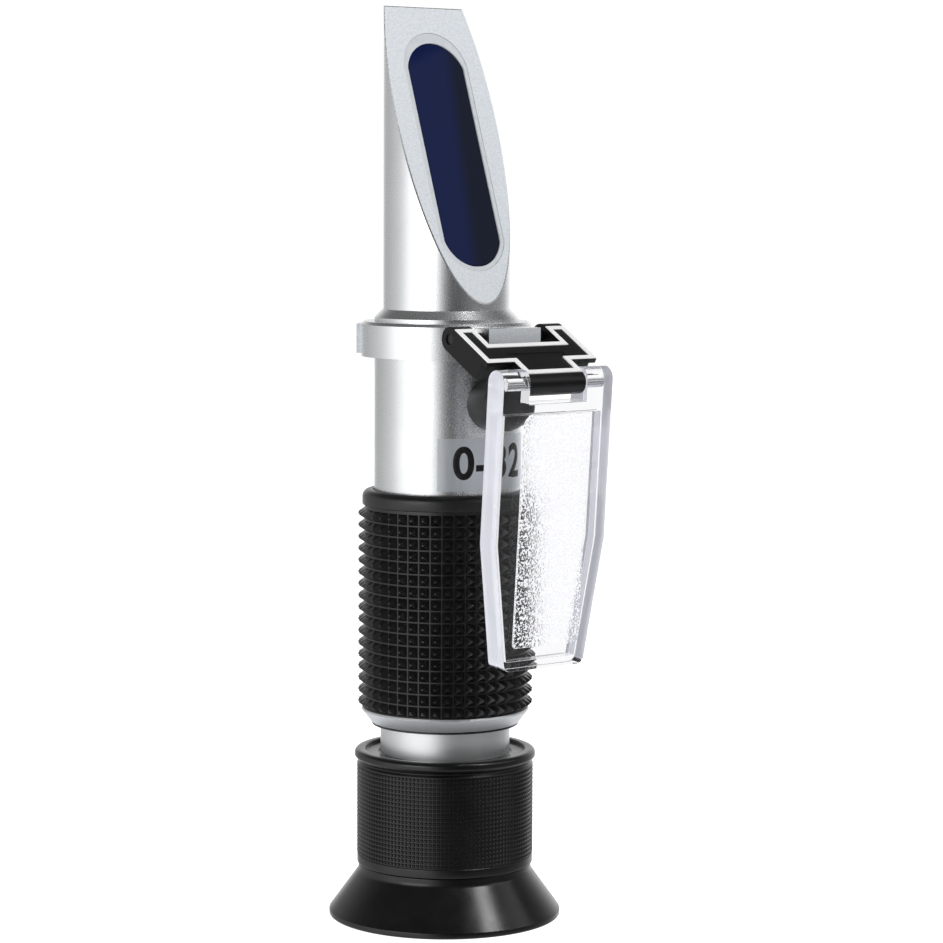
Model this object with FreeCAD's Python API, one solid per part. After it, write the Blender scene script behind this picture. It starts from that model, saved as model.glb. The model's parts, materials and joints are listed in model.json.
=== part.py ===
import FreeCAD, Part
import math
import os

# Hand-held refractometer, standing on its eyecup. Millimetres.
# +Z runs up the optical axis, z = 0 is the eyecup's rim, and -Y is the front,
# the side of the oblique prism face, the hinge and the daylight plate.

Vector = FreeCAD.Vector
X_AXIS = Vector(1, 0, 0)
Y_AXIS = Vector(0, 1, 0)
Z_AXIS = Vector(0, 0, 1)

# ---------------------------------------------------------------- driving dimensions
# Lengths along the optical axis
eyecup_height = 9.4
focus_ring_length = 20.4
focus_gap = 4.9              # bare eyepiece tube between the focus ring and the end ring
end_ring_height = 2.5
grip_length = 38.7
bare_tube_length = 31.6      # from the grip to the top of the body tube
head_length = 52.5           # prism housing above the body tube
face_step = 1.25             # prism housing left round below the oblique face
face_angle = 19.2            # oblique face to the optical axis, degrees
face_edge_break = 0.15       # chamfer round the oblique face

# Body tube and what lines up with it
tube_radius = 12.6
tube_wall = 1.53             # at the upper bore, round the prism housing
tube_shoulder = 0.72         # step from the upper bore in to the middle bore
tube_end_wall = 1.14         # at the lower bore, round the eyepiece tube
tube_bevel = 1.45
tube_thread = 1.4            # length of tube that screws into the end ring
fit = 0.02                   # radial clearance of a fixed fit
run = 0.04                   # radial clearance of a turning or sliding fit

# Eyecup
eyecup_radius = 20.5
eyecup_band = 1.0            # upright band round the rim
eyecup_wall = 1.6
eyecup_mouth_depth = 1.2
eyecup_floor = 0.6
eyecup_neck = 1.2            # upright neck against the focus ring

# Focus ring
focus_ring_wall = 4.16       # outside of the ring to the eyepiece tube
bead_height = 1.7
bead_proud = 0.4
bead_groove = 0.5
top_recess = 0.6
top_rim = 1.6
spigot_height = 4.0          # of the ring inside the eyecup's neck
spigot_step = 2.6            # from the outside of the ring in to its spigot
spigot_wall = 1.1
cell_flange_height = 1.8
retainer_height = 1.9
web_height = 1.5
focus_travel = 1.5           # each way from the rest position
focus_groove_down = 3.0      # of the O-ring's groove below the ring's top

# Eyepiece tube and its optics
eyepiece_wall = 1.54
eyepiece_insert = 26.0       # length of the eyepiece tube inside the body tube
reticle_height = 1.1
reticle_seat_above_end = 4.6
reticle_lip = 1.7
holder_height = 3.0
reticle_ring_height = 1.6
aperture_wall = 2.5
cell_length = 15.0
cell_wall = 1.25
lens_lip = 1.2               # flat seat round the lenses of the ocular
eye_lens_edge = 1.6
eye_lens_rise = (0.6, 1.8)   # below and above the edge
field_lens_edge = 1.6
field_lens_rise = (1.6, 0.3)
lens_ring_height = 1.6
spacer_length = 8.0

# Grip
grip_wall = 2.8              # to the teeth's peaks
tooth_depth = 1.1
lip_step = 0.7               # of the smooth lip below the teeth's peaks
tooth_rows = 17
tooth_flat = 0.15            # half the flat top of a tooth, as a share of the pitch
grip_lip_height = 3.2
grip_lip_round = 0.8

# End ring
end_ring_wall = 2.2
end_ring_chamfer = 1.7
gasket_inset = 0.15
gasket_height = 0.4

# Hinge collar
collar_height = 6.1
collar_drop = 2.1            # top of the collar below the top of the body tube
collar_wall = 2.3
collar_chamfer = 0.5
clamp_pad = 0.85             # thicker back of the collar
clamp_pad_half_angle = 57.0
set_screw_radius = 1.5
set_screw_length = 2.6
set_screw_socket = 0.8       # from its middle to a corner
set_screw_socket_depth = 1.2

# Hinge link and pins
link_width = 24.0
link_depth = 4.2
link_pitch = 14.4            # from pin to pin
link_tilt = 30.0             # below horizontal, resting on its stop
slot_half_width = 7.9
slot_reach = 5.2             # of the slot ahead of the rear pin
barrel_half_width = 6.1
barrel_radius = 2.0
ear_gap = 0.35               # running gap round the plate's ears
wing_reach = 10.7            # of the wings ahead of the rear pin
wing_depth = 2.6             # of the wings along the link, ahead of the bridge
lip_overhang = 1.3           # of the wings over the room for the ears
wing_lip = 0.9
rear_pin_standoff = 3.4      # from the body tube's surface
rear_pin_up = 3.9            # above the collar's underside
lug_half_width = 5.7
lug_reach = 2.9              # ahead of the rear pin
lug_rise = 1.65              # above the rear pin
lug_drop = 1.9               # below the rear pin
pin_radius = 0.9
rear_pin_recess = 0.3        # of the rear pin's ends in the link's sides
ear_wall = 1.4               # of the plate's ears outside the front pin's ends

# Daylight plate
plate_width = 24.0
plate_depth = 4.2
plate_length = 48.6          # from its pin to its far end
plate_shoulder = 27.0        # from its pin to where it begins to taper
plate_end_width = 17.4
plate_web = 1.9
plate_flange = 1.4
plate_tilt = 4.2             # far end towards the body
plate_corner = 1.5
ear_rise = 0.5               # of the ears' rounding above their pin
notch_floor = 3.1            # below the pin
pad_height = 0.25
pad_from_pin = 5.0
pad_from_end = 4.0
pad_half_width = 7.2
pad_corner = 2.0
pad_end_corner = 0.9

# Prism, and the window in the oblique face
window_side = 4.9            # of oblique face beside the window, at its widest
window_start = 6.75          # up the face from its lowest point
window_length = 40.85
window_sagitta = 4.55
seal_width = 0.85
seal_top_extra = 1.05
seal_depth = 1.0
glass_recess = 0.3
glass_gap = 0.05
prism_wall = 2.27            # of housing behind the prism's corners
light_wall = 2.9             # of housing round the bore below the prism
spigot_in_tube = 10.5        # of the prism housing inside the body tube
o_ring_section = 0.4
o_ring_up = 4.0              # above the end of the housing's spigot

# Calibration screw, its cap and the carriage that it moves
screw_below_tube_top = 15.9
cap_radius = 4.7
cap_reach = 5.7              # from the body tube's surface
cap_round = 2.2
bush_flange_radius = 3.7
bush_neck_radius = 3.0
bush_flange_reach = 3.0
screw_radius = 1.7
screw_head_below = 1.5
screw_slot_width = 0.5
screw_slot_depth = 0.6
journal_radius = 1.0
journal_length = 2.4
carriage_height = 5.0
carriage_flat = 2.0          # depth of the flats that run between the guide's rails
carriage_margin = 1.0        # between the carriage and the body tube's bore
carriage_wall = 4.1
guide_base = 3.7
guide_rail_height = 3.6
guide_wall = 2.3
keeper_height = 1.4
keeper_wall = 4.4
slide_gap = 0.05
pocket_wall = 0.9            # between the carriage's bore and the spring's pocket

# Objective on its temperature strip
strip_width = 5.2
strip_thickness = 0.6
strip_clear = 0.1            # between the carriage's bore and the strip
strip_length = 12.4
hanger_thickness = 1.0
hanger_length = 4.8
strip_screw_head = 0.9
strip_screw_spacing = 2.6
cell_height = 4.0
cell_flat = 0.3              # depth of the flat that the strip is fixed to
objective_wall = 1.2         # of cell round the objective
objective_edge = 1.2
objective_ring_height = 1.0
objective_rise = (0.4, 0.7)
objective_lip = 0.7
spring_radius = 1.2
spring_wire = 0.3
spring_coils = 5
spring_clear = 0.35          # between the spring and its pocket

# Label and light baffles
label_thickness = 0.12
label_height = 9.1
label_above_grip = 0.7
label_half_angle = 45.0
baffle_height = 1.2
baffle_wall = 4.6
baffles_up = (30.0, 36.0)    # above the end of the grip

# ---------------------------------------------------------------- places that follow
ring_bottom_z = eyecup_height
ring_top_z = ring_bottom_z + focus_ring_length
end_ring_bottom_z = ring_top_z + focus_gap
grip_bottom_z = end_ring_bottom_z + end_ring_height
grip_top_z = grip_bottom_z + grip_length
tube_top_z = grip_top_z + bare_tube_length
head_top_z = tube_top_z + head_length
tube_bottom_z = grip_bottom_z - tube_thread
collar_top_z = tube_top_z - collar_drop
collar_bottom_z = collar_top_z - collar_height
housing_end_z = tube_top_z - spigot_in_tube

upper_bore = tube_radius - tube_wall
head_radius = upper_bore - fit
middle_bore = upper_bore - tube_shoulder
lower_bore = tube_radius - tube_end_wall
eyepiece_radius = lower_bore - fit
eyepiece_bore = eyepiece_radius - eyepiece_wall
cell_tube_radius = eyepiece_bore - run
cell_bore = cell_tube_radius - cell_wall
aperture_radius = eyepiece_bore - aperture_wall
ring_radius = eyepiece_radius + focus_ring_wall
ring_bore = eyepiece_radius + run
spigot_bottom_z = ring_bottom_z - spigot_height
web_bottom_z = ring_bottom_z + web_height
web_top_z = web_bottom_z + web_height
eyepiece_bottom_z = web_top_z + focus_travel + 0.5
eyepiece_top_z = tube_bottom_z + eyepiece_insert
spigot_radius = ring_radius - spigot_step
flange_bore = spigot_radius - spigot_wall

screw_z = tube_top_z - screw_below_tube_top
carriage_bottom_z = screw_z - carriage_height / 2
carriage_radius = upper_bore - carriage_margin
carriage_half_width = carriage_radius - carriage_flat
carriage_bore = carriage_radius - carriage_wall
guide_bottom_z = carriage_bottom_z - slide_gap - guide_base
guide_bore = upper_bore - guide_wall
keeper_bore = upper_bore - keeper_wall
baffle_bore = middle_bore - baffle_wall

strip_inner_y = carriage_bore + strip_clear
cell_radius = strip_inner_y + cell_flat
objective_radius = cell_radius - objective_wall

rear_pin_y = -(tube_radius + rear_pin_standoff)
rear_pin_z = collar_bottom_z + rear_pin_up
tilt = math.radians(link_tilt)
front_pin_y = rear_pin_y - link_pitch * math.cos(tilt)
front_pin_z = rear_pin_z - link_pitch * math.sin(tilt)

window_half_width = head_radius - window_side
prism_back = math.sqrt((head_radius - prism_wall) ** 2 - window_half_width ** 2)
light_bore = head_radius - light_wall

face_low_z = tube_top_z + face_step
face_rad = math.radians(face_angle)
face_up = Vector(0, math.sin(face_rad), math.cos(face_rad))
face_out = Vector(0, -math.cos(face_rad), math.sin(face_rad))
face_low = Vector(0, -head_radius, face_low_z)


# ---------------------------------------------------------------- helpers
def cylinder(radius, z0, z1):
    return Part.makeCylinder(radius, z1 - z0, Vector(0, 0, z0))


def tube(outer, inner, z0, z1):
    return cylinder(outer, z0, z1).cut(cylinder(inner, z0 - 1, z1 + 1))


def block(low, high):
    size = Vector(*high).sub(Vector(*low))
    return Part.makeBox(size.x, size.y, size.z, Vector(*low))


def turned(points):
    """A solid of revolution about the optical axis from (radius, z) corners."""
    wire = Part.makePolygon([Vector(r, 0, z) for r, z in points + points[:1]])
    return Part.Face(wire).revolve(Vector(0, 0, 0), Z_AXIS, 360)


def rod_along_x(radius, x0, x1, y, z):
    return Part.makeCylinder(radius, x1 - x0, Vector(x0, y, z), X_AXIS)


def rod_along_y(radius, y0, y1, z, x=0.0):
    return Part.makeCylinder(radius, y1 - y0, Vector(x, y0, z), Y_AXIS)


def lens(radius, seat, edge, z0, rise_below, rise_above):
    """A round lens: an upright edge, a flat seat round it and a bulge on each side."""
    body = cylinder(radius, z0, z0 + edge)
    clear = radius - seat
    for rise, z, sign in ((rise_below, z0, -1), (rise_above, z0 + edge, 1)):
        ball_radius = (clear * clear + rise * rise) / (2 * rise)
        ball = Part.makeSphere(ball_radius, Vector(0, 0, z + sign * (rise - ball_radius)))
        span = (z, z + rise + 1) if sign > 0 else (z - rise - 1, z)
        body = body.fuse(ball.common(cylinder(clear, *span)))
    return body.removeSplitter()


def single(shape):
    """The one solid that a shape holds."""
    shape = shape.removeSplitter()
    return shape.Solids[0] if len(shape.Solids) == 1 else shape


def place_link(shape):
    """From the link's own frame, along -Y from the rear pin, to its resting tilt."""
    shape.rotate(Vector(0, 0, 0), X_AXIS, link_tilt)
    shape.translate(Vector(0, rear_pin_y, rear_pin_z))
    return shape


def place_plate(shape):
    """From the plate's own frame, hanging along -Z from its pin, to its resting tilt."""
    shape.rotate(Vector(0, 0, 0), X_AXIS, plate_tilt)
    shape.translate(Vector(0, front_pin_y, front_pin_z))
    return shape


# ---------------------------------------------------------------- head and prism
def face_cutter():
    """Everything in front of the oblique face."""
    size = 4 * (head_length + head_radius)
    slab = Part.makeBox(size, size, size, Vector(-size / 2, -size, -size / 2))
    slab.rotate(Vector(0, 0, 0), X_AXIS, -face_angle)
    slab.translate(face_low)
    return slab


def window_solid(grow_side, grow_low, grow_high, top, bottom):
    """The window's rounded outline, from `top` above the face to `bottom` under it."""
    half = window_half_width + grow_side
    start = window_start - grow_low
    end = window_start + window_length + grow_high
    low_side = window_start + window_sagitta
    high_side = window_start + window_length - window_sagitta

    def on_face(x, up):
        return face_low + face_up * up + face_out * top + Vector(x, 0, 0)

    low_arc = Part.Arc(on_face(half, low_side), on_face(0, start), on_face(-half, low_side))
    high_arc = Part.Arc(on_face(-half, high_side), on_face(0, end), on_face(half, high_side))
    left = Part.LineSegment(on_face(-half, low_side), on_face(-half, high_side))
    right = Part.LineSegment(on_face(half, high_side), on_face(half, low_side))
    edges = [piece.toShape() for piece in (low_arc, left, high_arc, right)]
    return Part.Face(Part.Wire(edges)).extrude(face_out * -(top - bottom))


prism_exit_z = face_low_z + window_start * math.cos(face_rad)


def prism_room(grow, top):
    """The wedge of glass: window outline, flat upright back and level exit face."""
    wedge = window_solid(grow, grow, grow, top, -3 * head_radius)
    room = block((-head_radius, -2 * head_radius, prism_exit_z - grow),
                 (head_radius, prism_back + grow, head_top_z + head_radius))
    return wedge.common(room)


def break_face_edges(body):
    """Chamfers the outer edge of the oblique face and of the flat end."""
    def slope(face):
        return face.normalAt(0, 0).dot(face_out)

    flats = [face for face in body.Faces if face.Surface.TypeId == "Part::GeomPlane"]
    oblique = max(flats, key=slope)
    return body.makeChamfer(face_edge_break, oblique.OuterWire.Edges)


def make_prism_housing():
    body = break_face_edges(cylinder(head_radius, housing_end_z, head_top_z).cut(face_cutter()))
    body = body.cut(cylinder(light_bore, housing_end_z - 1, prism_exit_z))
    body = body.cut(prism_room(glass_gap, 1.0))
    top_width = seal_width + seal_top_extra
    body = body.cut(window_solid(seal_width, seal_width, top_width, 1.0, -seal_depth))
    groove_z = housing_end_z + o_ring_up
    groove_half = o_ring_section + 0.06
    groove = tube(head_radius + 1, head_radius - 2 * o_ring_section,
                  groove_z - groove_half, groove_z + groove_half)
    return single(body.cut(groove))


def make_measuring_prism():
    return single(prism_room(0.0, -glass_recess))


def make_prism_seal():
    frame = window_solid(seal_width - glass_gap, seal_width - glass_gap,
                         seal_width + seal_top_extra - glass_gap, -0.05, -seal_depth)
    return single(frame.cut(window_solid(glass_gap, glass_gap, glass_gap, 1.0, -2 * seal_depth)))


def make_housing_o_ring():
    middle = head_radius - o_ring_section + 0.01
    return Part.makeTorus(middle, o_ring_section, Vector(0, 0, housing_end_z + o_ring_up))


# ---------------------------------------------------------------- body tube
def make_body_tube():
    body = turned([
        (lower_bore, tube_bottom_z), (tube_radius, tube_bottom_z),
        (tube_radius, tube_top_z - tube_bevel), (tube_radius - tube_bevel, tube_top_z),
        (upper_bore, tube_top_z), (upper_bore, guide_bottom_z),
        (middle_bore, guide_bottom_z), (middle_bore, eyepiece_top_z),
        (lower_bore, eyepiece_top_z)])
    body = body.cut(rod_along_y(bush_neck_radius + fit, -tube_radius - 1, 0, screw_z))
    body = body.cut(rod_along_y(set_screw_radius * 0.7, 0, tube_radius + 1, set_screw_z()))
    return single(body)


def make_end_ring():
    outer = tube_radius + end_ring_wall
    return single(turned([
        (eyepiece_radius + fit, end_ring_bottom_z), (outer - end_ring_chamfer, end_ring_bottom_z),
        (outer, grip_bottom_z - 0.3), (outer - 0.15, grip_bottom_z),
        (tube_radius + fit, grip_bottom_z), (tube_radius + fit, tube_bottom_z),
        (eyepiece_radius + fit, tube_bottom_z)]))


def make_end_gasket():
    """A soft washer between the end ring and the eyepiece tube, proud of the ring's underside."""
    outer = tube_radius + end_ring_wall - end_ring_chamfer - gasket_inset
    z0 = end_ring_bottom_z - gasket_height
    return single(tube(outer, eyepiece_radius + fit, z0, end_ring_bottom_z))


def make_grip_sleeve():
    inner = tube_radius + fit
    peak = tube_radius + grip_wall
    valley = peak - tooth_depth
    lip = peak - lip_step
    lip_z = grip_top_z - grip_lip_height
    pitch = (lip_z - grip_bottom_z) / tooth_rows
    points = [(inner, grip_bottom_z), (valley, grip_bottom_z)]
    for row in range(tooth_rows):
        z = grip_bottom_z + row * pitch
        points += [(peak, z + (0.5 - tooth_flat) * pitch), (peak, z + (0.5 + tooth_flat) * pitch), (valley, z + pitch)]
    points += [(lip, lip_z), (lip, grip_top_z - grip_lip_round), (lip - grip_lip_round, grip_top_z),
               (inner, grip_top_z)]
    return single(turned(points))


def make_label_plate():
    z0 = grip_top_z + label_above_grip
    inner = tube_radius + 0.005
    ring = tube(inner + label_thickness, inner, z0, z0 + label_height)
    sector = Part.makeCylinder(2 * tube_radius, label_height, Vector(0, 0, z0), Z_AXIS,
                               2 * label_half_angle)
    sector.rotate(Vector(0, 0, 0), Z_AXIS, -90 - label_half_angle)
    return single(ring.common(sector))


def make_light_baffle(above_grip_bottom):
    z0 = grip_bottom_z + above_grip_bottom
    return single(tube(middle_bore - fit, baffle_bore, z0, z0 + baffle_height))


# ---------------------------------------------------------------- hinge collar
def set_screw_z():
    return (collar_bottom_z + collar_top_z) / 2


def make_hinge_collar():
    outer = tube_radius + collar_wall
    inner = tube_radius + fit
    body = turned([
        (inner, collar_bottom_z), (outer, collar_bottom_z), (outer, collar_top_z - collar_chamfer),
        (outer - collar_chamfer, collar_top_z), (inner, collar_top_z)])
    pad = Part.makeCylinder(outer + clamp_pad, collar_height - 2 * collar_chamfer,
                            Vector(0, 0, collar_bottom_z + collar_chamfer), Z_AXIS,
                            2 * clamp_pad_half_angle)
    pad.rotate(Vector(0, 0, 0), Z_AXIS, 90 - clamp_pad_half_angle)
    lug = block((-lug_half_width, rear_pin_y - lug_reach, rear_pin_z - lug_drop),
                (lug_half_width, -tube_radius * 0.9, rear_pin_z + lug_rise))
    body = body.fuse([pad, lug]).cut(cylinder(inner, collar_bottom_z - 1, collar_top_z + 1))
    body = body.cut(rod_along_x(pin_radius + fit, -lug_half_width - 1, lug_half_width + 1,
                                rear_pin_y, rear_pin_z))
    return single(body.cut(rod_along_y(set_screw_radius + fit, 0, 2 * outer, set_screw_z())))


def make_collar_set_screw():
    start = tube_radius + 0.05
    screw = rod_along_y(set_screw_radius, start, start + set_screw_length, set_screw_z())
    socket_y = start + set_screw_length - set_screw_socket_depth
    hexagon = [Vector(set_screw_socket * math.cos(math.radians(60 * i)), socket_y,
                      set_screw_z() + set_screw_socket * math.sin(math.radians(60 * i)))
               for i in range(7)]
    socket = Part.Face(Part.makePolygon(hexagon)).extrude(Vector(0, 2, 0))
    return single(screw.cut(socket))


# ---------------------------------------------------------------- hinge link and pins
def make_hinge_link():
    half = link_width / 2
    depth = link_depth / 2
    ear_radius = plate_depth / 2 + ear_rise + ear_gap

    # side rails with round rear ends, and the bridge between slot and wings
    body = block((-half, -wing_reach, -depth), (half, 0, depth))
    body = body.fuse(rod_along_x(depth, -half, half, 0, 0))
    body = body.cut(block((-slot_half_width, -slot_reach, -2 * depth),
                          (slot_half_width, 2 * depth, 2 * depth)))

    # tongue to the front barrel, between the plate's ears
    tongue = block((-barrel_half_width, -link_pitch, -barrel_radius * 0.7),
                   (barrel_half_width, -slot_reach - 1, barrel_radius))
    tongue = tongue.fuse(rod_along_x(barrel_radius, -barrel_half_width, barrel_half_width, -link_pitch, 0))
    body = body.cut(block((-barrel_half_width, -2 * wing_reach, -2 * depth),
                          (barrel_half_width, -wing_reach + wing_depth, 2 * depth)))
    body = body.fuse(tongue)

    # room for the plate's ears under the wings' front lips
    for side in (-1, 1):
        x0, x1 = sorted((side * barrel_half_width, side * (half + 1)))
        body = body.cut(rod_along_x(ear_radius, x0, x1, -link_pitch, 0))
        under = block((x0, -link_pitch - 1, -2 * depth),
                      (x1, -wing_reach + lip_overhang, depth - wing_lip))
        body = body.cut(under)

    body = body.cut(rod_along_x(pin_radius + fit, -half - 1, half + 1, 0, 0))
    body = body.cut(rod_along_x(pin_radius + fit, -half - 1, half + 1, -link_pitch, 0))
    return place_link(single(body))


def make_rear_pin():
    half = link_width / 2 - rear_pin_recess
    return rod_along_x(pin_radius, -half, half, rear_pin_y, rear_pin_z)


def make_front_pin():
    half = plate_width / 2 - ear_wall - run
    return rod_along_x(pin_radius, -half, half, front_pin_y, front_pin_z)


# ---------------------------------------------------------------- daylight plate
def plate_outline(inset, z_top, z_bottom, y0, y1):
    """The tapered outline, drawn in XZ and extruded from y0 to y1."""
    half = plate_width / 2 - inset
    end_half = plate_end_width / 2 - inset
    slope = (plate_width - plate_end_width) / 2 / (plate_length - plate_shoulder)
    low_half = end_half + slope * (z_bottom + plate_length)
    corners = [(-half, z_top), (half, z_top), (half, -plate_shoulder), (low_half, z_bottom),
               (-low_half, z_bottom), (-half, -plate_shoulder), (-half, z_top)]
    face = Part.Face(Part.makePolygon([Vector(x, y0, z) for x, z in corners]))
    return face.extrude(Vector(0, y1 - y0, 0))


def upright_edges(shape, z_low, z_high):
    """Edges along Y whose height lies in a range."""
    found = []
    for edge in shape.Edges:
        ends = [v.Point for v in edge.Vertexes]
        if len(ends) != 2 or abs(ends[0].z - ends[1].z) > 1e-6 or abs(ends[0].x - ends[1].x) > 1e-6:
            continue
        if z_low < ends[0].z < z_high:
            found.append(edge)
    return found


def make_daylight_plate():
    half = plate_width / 2
    depth = plate_depth / 2
    body = plate_outline(0, ear_rise, -plate_length, -depth, depth)
    body = body.makeFillet(plate_corner, upright_edges(body, -plate_length - 1, -plate_length + 1))
    hollow_top = -notch_floor - plate_web
    hollow = plate_outline(plate_flange, hollow_top, -plate_length + plate_flange,
                           -depth + plate_web, depth + 1)
    body = body.cut(hollow)
    body = body.fuse(rod_along_x(depth, -half, half, 0, ear_rise))
    notch = block((-barrel_half_width - 0.15, -depth - 1, -notch_floor),
                  (barrel_half_width + 0.15, depth + 1, depth + 1))
    body = body.cut(notch)

    pad = block((-pad_half_width, -depth - pad_height, -plate_length + pad_from_end),
                (pad_half_width, -depth + 0.1, -pad_from_pin))
    pad = pad.makeFillet(pad_corner, upright_edges(pad, -plate_shoulder, 0))
    pad = pad.makeFillet(pad_end_corner, upright_edges(pad, -plate_length, -plate_shoulder))
    body = body.fuse(pad)
    # blind sockets for the front pin, open towards the notch
    body = body.cut(rod_along_x(pin_radius + run, ear_wall - half, half - ear_wall, 0, 0))
    return place_plate(single(body))


# ---------------------------------------------------------------- calibration
def make_calibration_cap():
    front = -(tube_radius + cap_reach)
    body = rod_along_y(cap_radius, front, -tube_radius * 0.7, screw_z)
    rim = [edge for edge in body.Edges if abs(edge.BoundBox.YMin - front) < 1e-6
           and abs(edge.BoundBox.YMax - front) < 1e-6]
    body = body.makeFillet(cap_round, rim)
    inside = -(tube_radius + bush_flange_reach + 0.1)
    body = body.cut(rod_along_y(bush_flange_radius + fit, inside, 0, screw_z))
    return single(body.cut(cylinder(tube_radius + fit, grip_top_z, head_top_z)))


def make_calibration_bush():
    front = -(tube_radius + bush_flange_reach)
    flange = rod_along_y(bush_flange_radius, front, -tube_radius * 0.7, screw_z)
    flange = flange.cut(cylinder(tube_radius + fit, grip_top_z, head_top_z))
    neck = rod_along_y(bush_neck_radius, front + 0.5, -upper_bore - 0.05, screw_z)
    neck = neck.cut(cylinder(upper_bore + 0.05, grip_top_z, head_top_z))
    body = flange.fuse(neck)
    return single(body.cut(rod_along_y(screw_radius + run, front - 1, 0, screw_z)))


def make_calibration_screw():
    front = -(tube_radius + bush_flange_reach) + screw_head_below
    nose = -carriage_radius - 0.05
    body = rod_along_y(screw_radius, front, nose, screw_z)
    body = body.fuse(rod_along_y(journal_radius, nose - 0.1, nose + journal_length, screw_z))
    slot = block((-screw_radius - 1, front - 1, screw_z - screw_slot_width / 2),
                 (screw_radius + 1, front + screw_slot_depth, screw_z + screw_slot_width / 2))
    return single(body.cut(slot))


def make_carriage_guide():
    top = carriage_bottom_z - slide_gap
    base = tube(upper_bore - fit, guide_bore, guide_bottom_z, top)
    rails = tube(upper_bore - fit, 1.0, top - 0.1, top + guide_rail_height)
    rails = rails.cut(block((-carriage_half_width - slide_gap, -tube_radius, top - 1),
                            (carriage_half_width + slide_gap, tube_radius, top + carriage_height)))
    return single(base.fuse(rails))


def make_carriage_keeper():
    z0 = carriage_bottom_z + carriage_height + slide_gap
    return single(tube(upper_bore - fit, keeper_bore, z0, z0 + keeper_height))


def make_objective_carriage():
    top = carriage_bottom_z + carriage_height
    body = cylinder(carriage_radius, carriage_bottom_z, top)
    body = body.common(block((-carriage_half_width, -tube_radius, carriage_bottom_z),
                             (carriage_half_width, tube_radius, top)))
    body = body.cut(cylinder(carriage_bore, carriage_bottom_z - 1, top + 1))
    hanger_y = strip_inner_y + strip_thickness
    hanger = block((-strip_width / 2, hanger_y, carriage_bottom_z - hanger_length),
                   (strip_width / 2, hanger_y + hanger_thickness, carriage_bottom_z + 0.5))
    body = body.fuse(hanger)
    body = body.cut(block((-strip_width / 2 - 0.05, 0, carriage_bottom_z - 1),
                          (strip_width / 2 + 0.05, hanger_y, carriage_bottom_z + 0.6)))
    journal_y = -carriage_radius
    journal_end = journal_y + journal_length + 0.1
    body = body.cut(rod_along_y(journal_radius + run, journal_y - 1, journal_end, screw_z))
    pocket_y = carriage_bore + pocket_wall
    return single(body.cut(rod_along_y(spring_radius + spring_clear, pocket_y, tube_radius, screw_z)))


def make_return_spring():
    """Rings of wire, one for each coil, along Y between the carriage's pocket and the tube."""
    first = math.sqrt(upper_bore ** 2 - spring_radius ** 2) - spring_wire - 0.005
    pitch = 2 * spring_wire + 0.03
    coils = [Part.makeTorus(spring_radius - spring_wire, spring_wire,
                            Vector(0, first - i * pitch, screw_z), Y_AXIS) for i in range(spring_coils)]
    return Part.makeCompound(coils)


def make_bimetal_strip():
    top = carriage_bottom_z + 0.5
    return block((-strip_width / 2, strip_inner_y, top - strip_length),
                 (strip_width / 2, strip_inner_y + strip_thickness, top))


def make_strip_screws():
    z = carriage_bottom_z - hanger_length / 2
    screws = []
    for side in (-1, 1):
        x = side * strip_screw_spacing / 2
        head = rod_along_y(strip_screw_head, strip_inner_y - 0.5, strip_inner_y, z, x)
        screws.append(head)
    return Part.makeCompound(screws)


def objective_cell_z():
    return carriage_bottom_z + 0.5 - strip_length


def make_objective_cell():
    z0 = objective_cell_z()
    body = cylinder(cell_radius, z0, z0 + cell_height)
    body = body.common(block((-cell_radius, -cell_radius, z0),
                             (cell_radius, strip_inner_y, z0 + cell_height)))
    body = body.cut(cylinder(objective_radius + fit, z0 + objective_lip, z0 + cell_height + 1))
    return single(body.cut(cylinder(objective_radius - objective_lip, z0 - 1, z0 + cell_height)))


def make_objective_lens():
    z0 = objective_cell_z() + objective_lip
    return lens(objective_radius, objective_lip + run, objective_edge, z0, *objective_rise)


def make_objective_ring():
    z0 = objective_cell_z() + objective_lip + objective_edge
    return single(tube(objective_radius, objective_radius - objective_lip, z0, z0 + objective_ring_height))


# ---------------------------------------------------------------- eyepiece tube and reticle
reticle_seat_z = end_ring_bottom_z + reticle_seat_above_end


def make_eyepiece_tube():
    lip_z = reticle_seat_z - 1.0
    return single(turned([
        (eyepiece_bore, eyepiece_bottom_z), (eyepiece_radius, eyepiece_bottom_z),
        (eyepiece_radius, eyepiece_top_z), (eyepiece_bore, eyepiece_top_z),
        (eyepiece_bore, reticle_seat_z), (eyepiece_bore - reticle_lip, reticle_seat_z),
        (eyepiece_bore - reticle_lip, lip_z), (eyepiece_bore, lip_z)]))


def make_reticle_holder():
    outer = eyepiece_bore - fit
    top = reticle_seat_z + holder_height
    disc_radius = outer - 0.9
    return single(turned([
        (aperture_radius, reticle_seat_z), (outer, reticle_seat_z), (outer, top), (disc_radius, top),
        (disc_radius, top - reticle_height), (aperture_radius, top - reticle_height)]))


def make_reticle_disc():
    top = reticle_seat_z + holder_height
    return cylinder(eyepiece_bore - fit - 0.9 - fit, top - reticle_height, top)


def make_reticle_ring():
    z0 = reticle_seat_z + holder_height
    return single(tube(eyepiece_bore - fit, aperture_radius, z0, z0 + reticle_ring_height))


# ---------------------------------------------------------------- ocular
cell_bottom_z = web_bottom_z - 0.05 - cell_flange_height
lens_seat_z = cell_bottom_z + 0.8
field_lens_z = lens_seat_z + eye_lens_edge + spacer_length


def make_ocular_cell():
    flange = flange_bore - run
    lip = cell_bore - lens_lip
    return single(turned([
        (lip, cell_bottom_z), (flange, cell_bottom_z), (flange, cell_bottom_z + cell_flange_height),
        (cell_tube_radius, cell_bottom_z + cell_flange_height),
        (cell_tube_radius, cell_bottom_z + cell_length), (cell_bore, cell_bottom_z + cell_length),
        (cell_bore, lens_seat_z), (lip, lens_seat_z)]))


def make_eye_lens():
    return lens(cell_bore - fit, lens_lip + run, eye_lens_edge, lens_seat_z, *eye_lens_rise)


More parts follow.
